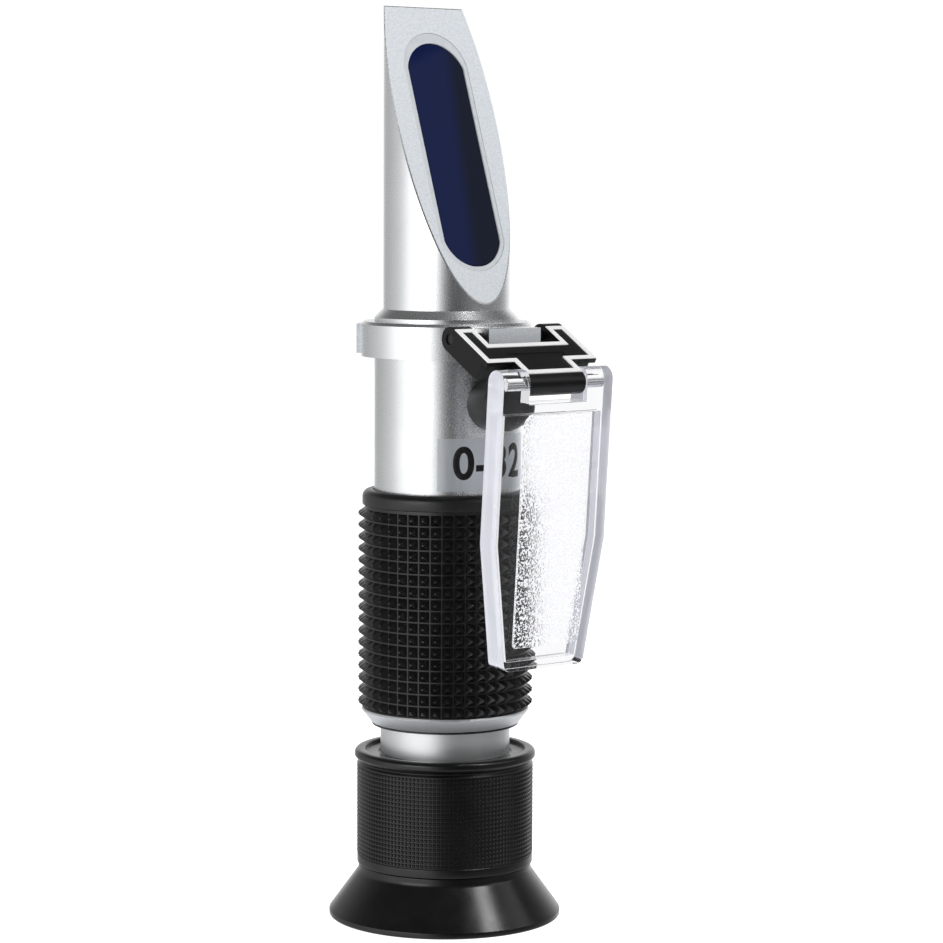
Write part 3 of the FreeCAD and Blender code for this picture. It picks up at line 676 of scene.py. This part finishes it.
# ---------------------------------------------------------------- focus ring
def make_focus_ring():
    spigot_z, top = low_high("focus_ring", 2)
    bead = radius_of("focus_ring")
    ring = bead - BEAD_PROUD
    cup_top = low_high("eyecup", 2)[1]
    flange_top = low_high("ocular_cell", 2)[0] + CELL_FLANGE
    inner = radius_of("eyepiece_tube") + RUN
    spigot = ring - SPIGOT_STEP
    bore = spigot - SPIGOT_WALL
    knurl_z = cup_top + KNURL_LOW_BAND
    knurl_top = top - BEAD_HEIGHT - 2 * BEAD_GROOVE - KNURL_HIGH_BAND
    band = knurl_rings(knurl_z, knurl_top, KNURL_ROWS, KNURL_COLUMNS, ring - KNURL_DEPTH, ring,
                       KNURL_FLOOR, KNURL_TOP)
    plain = ring - KNURL_STEP
    below = rounded([(inner, flange_top + FOCUS_WEB, 0), (bore, flange_top, 0), (bore, spigot_z, 0.1),
                     (spigot, spigot_z, 0.2), (spigot, cup_top, 0), (plain, cup_top, 0.25),
                     (plain, knurl_z - KNURL_STEP, 0.2),
                     (ring - KNURL_DEPTH, knurl_z - KNURL_STEP, 0)])
    above = rounded([(ring - KNURL_DEPTH, knurl_top + KNURL_STEP, 0),
                     (ring, knurl_top + KNURL_STEP, 0.1),
                     (ring, top - BEAD_HEIGHT - 2 * BEAD_GROOVE, 0.2),
                     (ring - BEAD_GROOVE, top - BEAD_HEIGHT - BEAD_GROOVE, 0.15),
                     (ring, top - BEAD_HEIGHT, 0.15),
                     (bead, top - BEAD_HEIGHT * 0.75, 0.3),
                     (bead, top, 0.8),
                     (ring - TOP_RIM, top, 0.3),
                     (ring - TOP_RIM, top - TOP_RECESS, 0.15),
                     (inner, top - TOP_RECESS, 0.1)])[:-1]
    return knurled_piece("focus_ring_knurled", [tuple(p) for p in below], band,
                         [tuple(p) for p in above] + [(inner, top - TOP_RECESS)],
                         KNURL_COLUMNS, KNURL_FLOOR, KNURL_TOP,
                         materials=[RING_PLASTIC], body="focus", slot="black_plastic", angle=24)


# ---------------------------------------------------------------- eyecup
def make_eyecup():
    top = low_high("eyecup", 2)[1]
    rim = radius_of("eyecup")
    ring = radius_of("focus_ring") - BEAD_PROUD
    spigot_z = low_high("focus_ring", 2)[0]
    neck = ring - EYECUP_NECK_STEP
    spigot = ring - SPIGOT_STEP + FIT
    bore = spigot - SPIGOT_WALL + EYECUP_LEDGE
    mouth = rim - EYECUP_MOUTH_WALL
    flare_top = top - EYECUP_NECK
    floor_z = spigot_z - EYECUP_FLOOR
    lean = (rim - neck) / (flare_top - EYECUP_BAND)
    corners = [(mouth, 0, 0.3), (rim, 0, 0.35), (rim, EYECUP_BAND, 0.3), (neck, flare_top, 1.6),
               (neck, top, 0.25), (spigot, top, 0.1), (spigot, spigot_z, 0), (bore, spigot_z, 0),
               (bore, floor_z, 0.2), (mouth - lean * (floor_z - EYECUP_MOUTH_DEPTH), floor_z, 0.8),
               (mouth, EYECUP_MOUTH_DEPTH, 0.5)]
    piece = lathe("eyecup_rubber", corners, materials=[CUP_RUBBER], body="focus",
                  slot="black_rubber", angle=40)
    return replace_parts(piece, "eyecup")


# ---------------------------------------------------------------- hinge link
def link_place(across, along, rise):
    """A point in the link's own directions, in millimetres, from the rear pin."""
    direction = (FRONT_PIN - REAR_PIN).normalized()
    up = Vector((0, direction.z, -direction.y))
    return tuple(REAR_PIN / MM + Vector((across, 0, 0)) + direction * along + up * rise)


def inset(outline, distance):
    """A closed outline of straight runs moved inwards; it runs anticlockwise."""
    moved = []
    count = len(outline)
    for index in range(count):
        here = Vector(outline[index])
        before = (here - Vector(outline[index - 1])).normalized()
        after = (Vector(outline[(index + 1) % count]) - here).normalized()
        left_before = Vector((-before.y, before.x))
        left_after = Vector((-after.y, after.x))
        moved.append(here + (left_before + left_after) * distance)
    return moved


def make_stripe():
    """The white line round the top of the link, a little proud of the black."""
    half = radius_of("hinge_link")
    pitch = (FRONT_PIN - REAR_PIN).length / MM
    outline = [(half, STRIPE_REAR), (half, WING_REACH), (BARREL_HALF_WIDTH, WING_REACH),
               (BARREL_HALF_WIDTH, pitch), (-BARREL_HALF_WIDTH, pitch),
               (-BARREL_HALF_WIDTH, WING_REACH), (-half, WING_REACH), (-half, STRIPE_REAR),
               (-SLOT_HALF_WIDTH, STRIPE_REAR), (-SLOT_HALF_WIDTH, SLOT_REACH),
               (SLOT_HALF_WIDTH, SLOT_REACH), (SLOT_HALF_WIDTH, STRIPE_REAR)]
    outer = inset(outline, STRIPE_INSET)
    inner = inset(outline, STRIPE_INSET + STRIPE_WIDTH)
    low = LINK_DEPTH / 2 - STRIPE_SUNK
    high = LINK_DEPTH / 2 + STRIPE_HEIGHT
    count = len(outline)
    points = [link_place(*place, rise) for rise in (low, high) for loop in (outer, inner)
              for place in loop]
    faces = []
    for k in range(count):
        n = (k + 1) % count
        faces.append([k, n, count + n, count + k])
        faces.append([2 * count + k, 3 * count + k, 3 * count + n, 2 * count + n])
        faces.append([k, 2 * count + k, 2 * count + n, n])
        faces.append([count + k, count + n, 3 * count + n, 3 * count + k])
    piece = new_piece("link_outline", points, faces, [WHITE], "link", "label")
    rounding = piece.modifiers.new("edges", "BEVEL")
    rounding.width = 0.05 * MM
    rounding.segments = 2
    return piece


# ---------------------------------------------------------------- daylight plate
def plate_directions():
    """The plate's own outward and downward directions as it hangs."""
    out = Vector((0, -math.cos(PLATE_TILT), -math.sin(PLATE_TILT)))
    down = Vector((0, math.sin(PLATE_TILT), -math.cos(PLATE_TILT)))
    return out, down


def make_plate():
    piece = refined("daylight_plate_clear", "daylight_plate", 0.22, CLEAR, angle=25)
    piece.data.materials.append(FROSTED)
    piece.data.materials.append(MILKY)
    out, down = plate_directions()
    front = (PLATE_DEPTH / 2 + PLATE_PAD_CLEAR) * MM
    side = PLATE_WALL_FROM * MM
    for face in piece.data.polygons:
        offset = face.center - FRONT_PIN
        if offset.dot(out) > front:
            face.material_index = 1
        elif face.normal.x * face.center.x > side and offset.dot(down) > -PLATE_WALL_TOP * MM:
            face.material_index = 2
    return piece


# ---------------------------------------------------------------- collar
def make_collar():
    """The flat faces of its hinge lug and rear pad are blasted like the oblique face."""
    piece = refined("hinge_collar_satin", "hinge_collar", 0.22, ALUMINIUM)
    piece.data.materials.append(FACE_METAL)
    tube = radius_of("body_tube") * MM
    for face in piece.data.polygons:
        flat = abs(face.normal.z) < 0.1
        lug = face.center.y < -tube and face.normal.y < -0.5 and abs(face.center.x) < LUG_REACH * MM
        radial = Vector((face.center.x, face.center.y, 0)).normalized()
        pad_end = abs(face.normal.dot(radial)) < 0.3 and face.center.y > -tube * 0.9
        if flat and (lug or pad_end):
            face.material_index = 1
    return piece


# ---------------------------------------------------------------- label
def make_label_marks():
    """Plain figures of the measuring range, wrapped round the tube."""
    low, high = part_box("label_plate")
    radius = -low.y
    height = high.z - low.z
    curve = bpy.data.curves.new("label_marks", "FONT")
    curve.body = "0-32"
    curve.size = height * MARK_SHARE
    curve.align_x = "CENTER"
    curve.align_y = "CENTER"
    curve.offset = MARK_BOLD * MM
    curve.space_character = 1.05
    text = bpy.data.objects.new("label_marks_text", curve)
    bpy.context.scene.collection.objects.link(text)
    bpy.context.view_layer.update()
    mesh = bpy.data.meshes.new_from_object(text)
    bpy.data.objects.remove(text)
    work = bmesh.new()
    work.from_mesh(mesh)
    bmesh.ops.triangulate(work, faces=work.faces)
    bmesh.ops.subdivide_edges(work, edges=work.edges, cuts=2, use_grid_fill=True)
    solid = bmesh.ops.extrude_face_region(work, geom=work.faces)
    raised = [item for item in solid["geom"] if isinstance(item, bmesh.types.BMVert)]
    for vert in raised:
        vert.co.z = 1.0
    middle = (low.z + high.z) / 2
    for vert in work.verts:
        angle = vert.co.x / radius
        reach = radius + (MARK_PROUD if vert.co.z > 0.5 else -MARK_SUNK) * MM
        vert.co = Vector((reach * math.sin(angle), -reach * math.cos(angle), middle + vert.co.y))
    work.to_mesh(mesh)
    work.free()
    face_out(mesh)
    mesh.materials.clear()
    mesh.materials.append(INK)
    piece = bpy.data.objects.new("label_marks", mesh)
    bpy.context.scene.collection.objects.link(piece)
    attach(piece, "body")
    return piece


# ---------------------------------------------------------------- CAD nodes that stay
def finish_nodes():
    slots = {part["node"]: part["material_slot"] for part in frame["record"]["subparts"]}
    for name, node in frame["nodes"].items():
        node.data.materials.clear()
        node.data.materials.append(SLOT_MATERIAL[slots[name]])
    front = Vector((0, -math.cos(FACE_ANGLE), math.sin(FACE_ANGLE)))
    for name in ("end_ring", "eyepiece_tube"):
        frame["nodes"][name].data.materials[0] = SMOOTH_ALUMINIUM
    housing = frame["nodes"]["prism_housing"].data
    housing.materials.append(FACE_METAL)
    for face in housing.polygons:
        if face.normal.dot(front) > 0.999:
            face.material_index = 1


# ---------------------------------------------------------------- studio
def make_world():
    """A white cove behind, a wide soft light at the left and a darker right-hand side.

    The backdrop shows white to the camera and through the clear plate."""
    world = bpy.data.worlds.new("studio")
    bpy.context.scene.world = world
    world.use_nodes = True
    graph = Graph(world.node_tree)
    background = graph.nodes["Background"]
    turn = graph.nodes.new("ShaderNodeMapping")
    turn.vector_type = "POINT"
    turn.inputs["Rotation"].default_value = (0, 0, -CAMERA_AZIMUTH)
    graph.links.new(graph.nodes.new("ShaderNodeTexCoord").outputs["Generated"], turn.inputs["Vector"])
    right, back, up = graph.split(turn.outputs["Vector"])
    angle = graph.math("ARCTAN2", right, graph.math("MULTIPLY", back, -1.0))
    turned = graph.remap(angle, 0.0, 1.0, -math.pi, math.pi)
    walls = graph.ramp(turned, [((degrees + 180) / 360, grey(level / WORLD_STRENGTH))
                                for degrees, level in WALLS])
    below = graph.remap(up, 0.0, 1.0, *GROUND_EDGE, "SMOOTHSTEP")
    above = graph.remap(up, 0.0, 1.0, *CEILING_EDGE, "SMOOTHSTEP")
    room = graph.mix(above, graph.mix(below, walls, GROUND_LIGHT), CEILING_LIGHT)
    ray = graph.nodes.new("ShaderNodeLightPath").outputs
    behind = graph.remap(back, 0.0, 1.0, *BACKDROP_EDGE, "SMOOTHSTEP")
    clear = graph.math("MULTIPLY", ray["Is Transmission Ray"], behind)
    shown = graph.math("MAXIMUM", ray["Is Camera Ray"], clear)
    graph.links.new(graph.mix(shown, room, BACKDROP_LIGHT), background.inputs["Color"])
    background.inputs["Strength"].default_value = WORLD_STRENGTH


def camera_side(degrees, rise):
    """A direction from the object: degrees to the right of the camera, and above the horizon."""
    angle = CAMERA_AZIMUTH + math.radians(degrees)
    lift = math.radians(rise)
    return Vector((math.sin(angle) * math.cos(lift), -math.cos(angle) * math.cos(lift), math.sin(lift)))


def soft_light(name, degrees, rise, width, height, radiance):
    aim = Vector((0, 0, AIM_HEIGHT))
    light = bpy.data.lights.new(name, "AREA")
    light.shape = "RECTANGLE"
    light.size = width
    light.size_y = height
    light.energy = radiance * width * height * math.pi
    lamp = bpy.data.objects.new(name, light)
    bpy.context.scene.collection.objects.link(lamp)
    place = aim + camera_side(degrees, rise) * LAMP_DISTANCE
    lamp.location = place
    lamp.rotation_euler = (place - aim).to_track_quat("Z", "Y").to_euler()


def make_floor():
    """A floor as white as the backdrop, which the metal and the plate don't mirror."""
    mesh = bpy.data.meshes.new("floor")
    work = bmesh.new()
    bmesh.ops.create_circle(work, cap_ends=True, radius=FLOOR_RADIUS, segments=96)
    work.to_mesh(mesh)
    work.free()
    shader = Shader("pale_floor", grey(0.6), 0.9)
    shader.set("Specular IOR Level", 0.0)
    shader.glow(grey(1.0), FLOOR_GLOW)
    mesh.materials.append(shader.material)
    floor = bpy.data.objects.new("floor", mesh)
    floor.location = (0, 0, -FLOOR_DROP)
    floor.visible_glossy = False
    floor.visible_diffuse = False
    floor.visible_transmission = False
    bpy.context.scene.collection.objects.link(floor)


def make_studio():
    make_world()
    for lamp in LAMPS:
        soft_light(*lamp)
    make_floor()


def make_camera():
    data = bpy.data.cameras.new("camera")
    data.lens = CAMERA_LENS
    data.sensor_width = 36
    data.clip_start = 0.01
    camera = bpy.data.objects.new("camera", data)
    bpy.context.scene.collection.objects.link(camera)
    right = Vector((math.cos(CAMERA_AZIMUTH), math.sin(CAMERA_AZIMUTH), 0))
    aim = Vector((0, 0, AIM_HEIGHT)) + right * AIM_SIDE
    back = camera_side(0, math.degrees(CAMERA_PITCH))
    up = back.cross(right)
    turn = Matrix((right, up, back)).transposed() @ Matrix.Rotation(CAMERA_ROLL, 3, "Z")
    camera.matrix_world = Matrix.Translation(aim + back * CAMERA_DISTANCE) @ turn.to_4x4()
    bpy.context.scene.camera = camera


# ---------------------------------------------------------------- build
def main():
    bpy.context.scene.view_settings.view_transform = "Standard"
    make_camera()
    make_studio()
    finish_nodes()
    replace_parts(make_grip(), "grip_sleeve")
    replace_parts(make_focus_ring(), "focus_ring")
    make_eyecup()
    refined("hinge_link_black", "hinge_link", 0.18, PLASTIC)
    make_stripe()
    make_plate()
    make_collar()
    refined("cap_rubber", "calibration_cap", 0.12, RUBBER)
    make_label_marks()


main()
